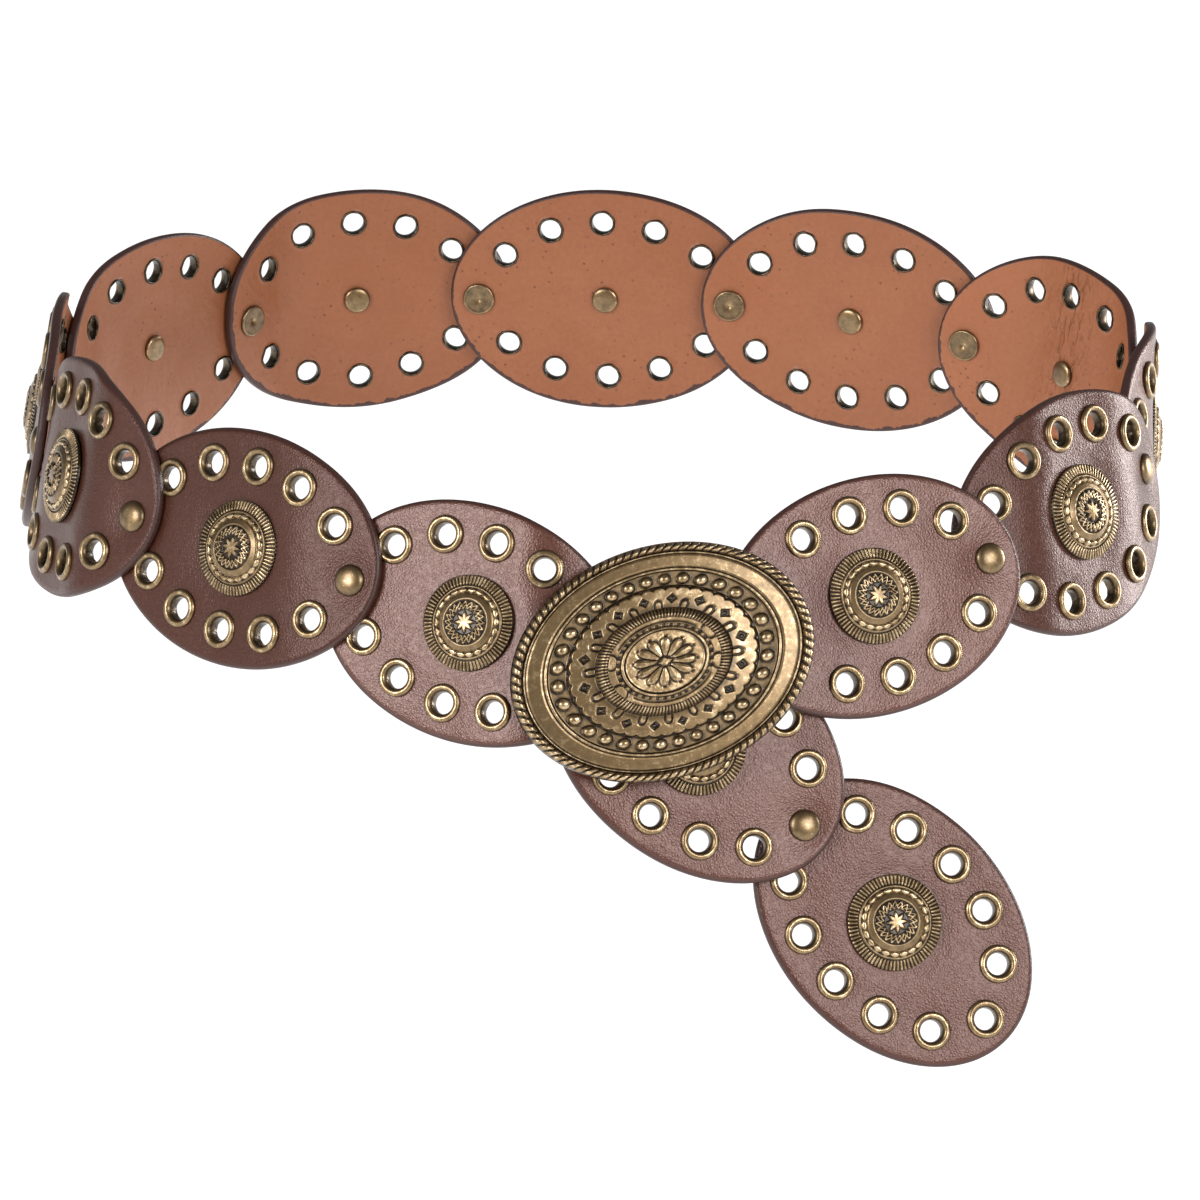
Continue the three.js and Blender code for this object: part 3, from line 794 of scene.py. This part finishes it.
def beaded_channel(r, turn, x, y):
    around = from_middle(turn + 0.5 / round_bead_count, round_bead_count) * 5.2
    reach = hypot(around, (r - round_bead_ring) * 38.5)
    if reach < round_bead_radius:
        crown = sqrt(1 - (reach / round_bead_radius) ** 2)
        return 1.3 * crown, 0.75 - 0.75 * min(crown * 1.9, 1)
    return 0.0, 0.95 - 0.45 * ramp(reach, 1.75, 2.6)


def scalloped_plate(r, turn, x, y):
    lobe = from_middle(turn, scallop_count)
    edge = scallop_ring + 0.03 * (sqrt(max(1 - 3.6 * lobe * lobe, 0)) - 1)
    inside = ramp((edge - r) * mean_half, -0.1, 0.45)
    lift = 1.05 * inside - 0.75
    dark = 1 - 0.85 * inside + 0.4 * ramp(-r, -0.5, -0.465)
    pit_x = from_middle(turn, pit_count) * 8.05
    pit_y = (r - pit_ring) * mean_half
    pit = abs(pit_x) / 1.55 + abs(pit_y) / 1.5
    if pit < 1.5:
        sunk_in = 1 - ramp(pit, 0.9, 1.12)
        pyramid = max(1 - pit / 0.5, 0)
        lift += 0.5 * pyramid - 0.7 * sunk_in
        dark = max(dark - 0.1 * (pit > 1.1), sunk_in) - 0.45 * ramp(pyramid, 0.2, 0.7)
    tongue_x = from_middle(turn + 0.5 / pit_count, pit_count) * 7.2
    tongue_y = (r - tongue_ring) * mean_half
    outline = (abs(tongue_x) if tongue_y < 0.7 else hypot(tongue_x, 0.8 * tongue_y - 0.56)) - 1.0
    if outline < 0.6:
        rim = 1 - ramp(abs(outline), 0.16, 0.42)
        lift += 0.25 * ramp(-outline, 0.1, 0.5) - 0.35 * rim
        dark = max(dark - 0.3 * ramp(-outline, 0.2, 0.6), 0.98 * rim)
    return lift, min(max(dark, 0), 1)


def ribbed_boss(r, turn, x, y):
    rib = 1 - ramp(abs(from_middle(turn, rib_count)), 0.2, 0.36)
    crown = sqrt(max(1 - ((r - 0.408) / 0.042) ** 2, 0))
    return 1.5 * crown + 0.4 * rib * crown - 0.3, 1 - 0.97 * rib * min(crown * 1.2, 1)


def lobed_band(r, turn, x, y):
    lobe = hypot(abs(x) - 14.6, abs(y) - 4.4) - 2.2
    arc = (r - 0.335) * mean_half if abs(x) < 11.5 else 1.0
    line = 1 - ramp(min(abs(lobe), abs(arc)), 0.12, 0.38)
    raised = ramp(-lobe, 0, 0.5)
    return 0.25 * raised - 0.3 * line, min(0.15 + 0.8 * line, 1)


def square_beads(r, turn, x, y):
    block = 1 - ramp(abs(from_middle(turn, square_count)), 0.2, 0.34)
    row = 1 - ramp(abs(r - 0.3075) * mean_half, 0.35, 0.6)
    return 0.4 * block * row - 0.2, 0.97 - 0.75 * block * row


def flower(r, turn, x, y):
    centre = 1 - abs(x) / 2.45 - abs(y) / 1.45
    if centre > -0.35:
        stone = ramp(centre, 0.0, 0.25)
        return 0.8 * stone - 0.4, 1 - 0.95 * stone
    x, y = x / 8.9, y / 6.7
    reach = hypot(x, y)
    aside = abs(from_middle(atan2(y, x) / (2 * pi) + 0.5 / petal_count, petal_count))
    half = 0.49 * sqrt(max(1 - (max(reach - 0.55, 0) / 0.45) ** 2, 0))
    inside = min((half - aside) * 4.08 * reach, (1 - reach) * 6)
    petal = ramp(inside, 0.0, 0.22)
    field = ramp(-inside, 0.3, 0.6)
    lift = petal * (0.35 + 0.35 * min(inside, 1)) + 0.15 * field - 0.35
    return lift, 1 - 0.93 * max(petal, field)


buckle_zones = [
    dict(outer=0.985, inner=1.0, foot=0.0, top=0.9, rings=1, points=196, relief=sunk),
    dict(outer=1.0, inner=0.925, foot=1.5, top=2.2, rings=9, points=rope_turns * 11,
         relief=roped),
    dict(outer=0.923, inner=0.919, foot=1.5, top=1.5, rings=1, points=240, relief=sunk),
    dict(outer=0.916, inner=0.908, foot=2.15, top=2.15, rings=2, points=240, relief=bright_line),
    dict(outer=0.905, inner=0.9, foot=1.75, top=1.75, rings=1, points=240, relief=sunk),
    dict(outer=0.896, inner=0.792, foot=2.0, top=2.55, rings=6, points=240, relief=worn_band),
    dict(outer=0.788, inner=0.784, foot=2.3, top=2.3, rings=1, points=240, relief=sunk),
    dict(outer=0.78, inner=0.766, foot=3.05, top=3.05, rings=2, points=240, relief=bright_line),
    dict(outer=0.762, inner=0.758, foot=2.7, top=2.6, rings=1, points=240, relief=sunk),
    dict(outer=0.755, inner=0.637, foot=1.9, top=1.9, rings=14, points=round_bead_count * 20,
         relief=beaded_channel),
    dict(outer=0.636, inner=0.452, foot=2.9, top=3.7, rings=28, points=pit_count * 50,
         relief=scalloped_plate),
    dict(outer=0.45, inner=0.372, foot=3.7, top=5.3, rings=11, points=rib_count * 8,
         relief=ribbed_boss),
    dict(outer=0.37, inner=0.323, foot=6.3, top=6.35, rings=8, points=480, relief=lobed_band),
    dict(outer=0.321, inner=0.296, foot=6.2, top=6.2, rings=6, points=square_count * 12,
         relief=square_beads),
    dict(outer=0.294, inner=0.292, foot=6.3, top=6.5, rings=1, points=240, relief=sunk),
    dict(outer=0.289, inner=0.274, foot=7.5, top=7.7, rings=3, points=240, relief=bright_line),
    dict(outer=0.271, inner=0.262, foot=7.2, top=7.0, rings=1, points=240, relief=sunk),
    dict(outer=0.258, inner=0.004, foot=6.9, top=7.1, rings=30, points=petal_count * 30,
         relief=flower),
]
flat_corners, sides, patina = struck(buckle_zones, buckle_half_long, buckle_half_wide)
cast_front = [buckle_at @ corner for corner in flat_corners], sides, patina

# The shell's back from its rim to its middle, each step as a ring and a height
back_steps = [(0.985, 0.0), (0.95, 0.0), (0.9, 0.55), (0.5, 0.7), (0.02, 0.7)]
corners, sides, ring = [], [], []
for share, height in back_steps:
    before = ring
    angles = evenly(rope_turns * 2, buckle_half_long, buckle_half_wide)
    ring = list(range(len(corners), len(corners) + len(angles)))
    corners += [buckle_at @ Vector((share * buckle_half_long * cos(angle),
                                    share * buckle_half_wide * sin(angle), height))
                for angle in angles]
    sides += joined(ring, before) if before else []
cast_back = corners, sides, [0.9] * len(corners)


def length_to_plate(seat):
    """How far it is from a seat, square to its disc, into the buckle's plate."""
    square = buckle_at.to_3x3() @ Vector((0, 0, 1))
    inside = buckle_at @ Vector((0, 0, 1.2))
    out = seat.to_3x3() @ Vector((0, 0, 1))
    return (inside - seat.translation).dot(square) / out.dot(square)


hooked_disc = discs[11]
post_seat = first_joint
peg_seat = hooked_disc["middle"] @ on_disc(hooked_disc, 29.1, 13.5)
post_steps = [(1.3, length_to_plate(post_seat)), (1.3, -2.2), (4.2, -2.2), (4.45, -2.35),
              (4.5, -2.6), (4.2, -3.0), (3.4, -3.2), (1.5, -3.3), (0.02, -3.3)]
peg_steps = [(1.8, length_to_plate(peg_seat)), (1.8, -2.1), (2.4, -2.2), (2.5, -2.5),
             (2.45, -3.1), (2.1, -3.5), (1.2, -3.6), (0.02, -3.6)]
post, peg = [turned_on(seat, [(radius, height, 0.35) for radius, height in steps], 32)
             for seat, steps in ((post_seat, post_steps), (peg_seat, peg_steps))]
buckle = brass_piece("cast_buckle", cast_front, cast_back, post, peg)
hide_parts("buckle")

# Floor, lights and camera
# A plain white studio: a floor of white acrylic lit from below, far under the belt, a soft light
# from each side of the front, a faint one at the left, one low at the right behind the belt, and a
# long lens that looks down by 20 degrees.
floor_mesh = bpy.data.meshes.new("floor")
floor_mesh.from_pydata([(-40, -40, -0.5), (40, -40, -0.5), (40, 40, -0.5), (-40, 40, -0.5)], [],
                       [(0, 1, 2, 3)])
floor = bpy.data.objects.new("floor", floor_mesh)
bpy.context.scene.collection.objects.link(floor)
floor_white, tree, shader = finish_of("lit_white_acrylic", Roughness=0.9, Emission_Strength=0.8)
shader.inputs["Base Color"].default_value = linear("#cbcbcb")
shader.inputs["Emission Color"].default_value = linear("#ffffff")
floor_mesh.materials.append(floor_white)

world = bpy.data.worlds.new("studio")
bpy.context.scene.world = world
world.use_nodes = True
world.node_tree.nodes["Background"].inputs["Color"].default_value = linear("#ffffff")
world.node_tree.nodes["Background"].inputs["Strength"].default_value = 0.17


def softbox(name, at, size, watts):
    """A soft light in metres that faces the middle of the belt."""
    light = bpy.data.lights.new(name, "AREA")
    light.shape = "RECTANGLE"
    light.size, light.size_y = size
    light.energy = watts
    lamp = bpy.data.objects.new(name, light)
    lamp.location = at
    lamp.rotation_euler = (-Vector(at)).to_track_quat("-Z", "Y").to_euler()
    bpy.context.scene.collection.objects.link(lamp)


softbox("front_right", at=(1.5, -1.98, 1.15), size=(1.4, 1.15), watts=41)
softbox("front_left", at=(-1.72, -1.7, 1.1), size=(1.0, 1.15), watts=40)
softbox("side_left", at=(-2.6, -0.4, 0.5), size=(1.5, 1.5), watts=5)
softbox("side_right", at=(2.45, 1.0, 0.2), size=(0.9, 1.3), watts=58)

lens = bpy.data.cameras.new("photo_camera")
lens.lens = 480
lens.sensor_width = 36
lens.clip_end = 200
camera = bpy.data.objects.new("photo_camera", lens)
camera.location = (0, -4.32, 1.5242)
camera.rotation_euler = (radians(70), 0, 0)
bpy.context.scene.collection.objects.link(camera)
bpy.context.scene.camera = camera
bpy.context.scene.view_settings.view_transform = "Standard"
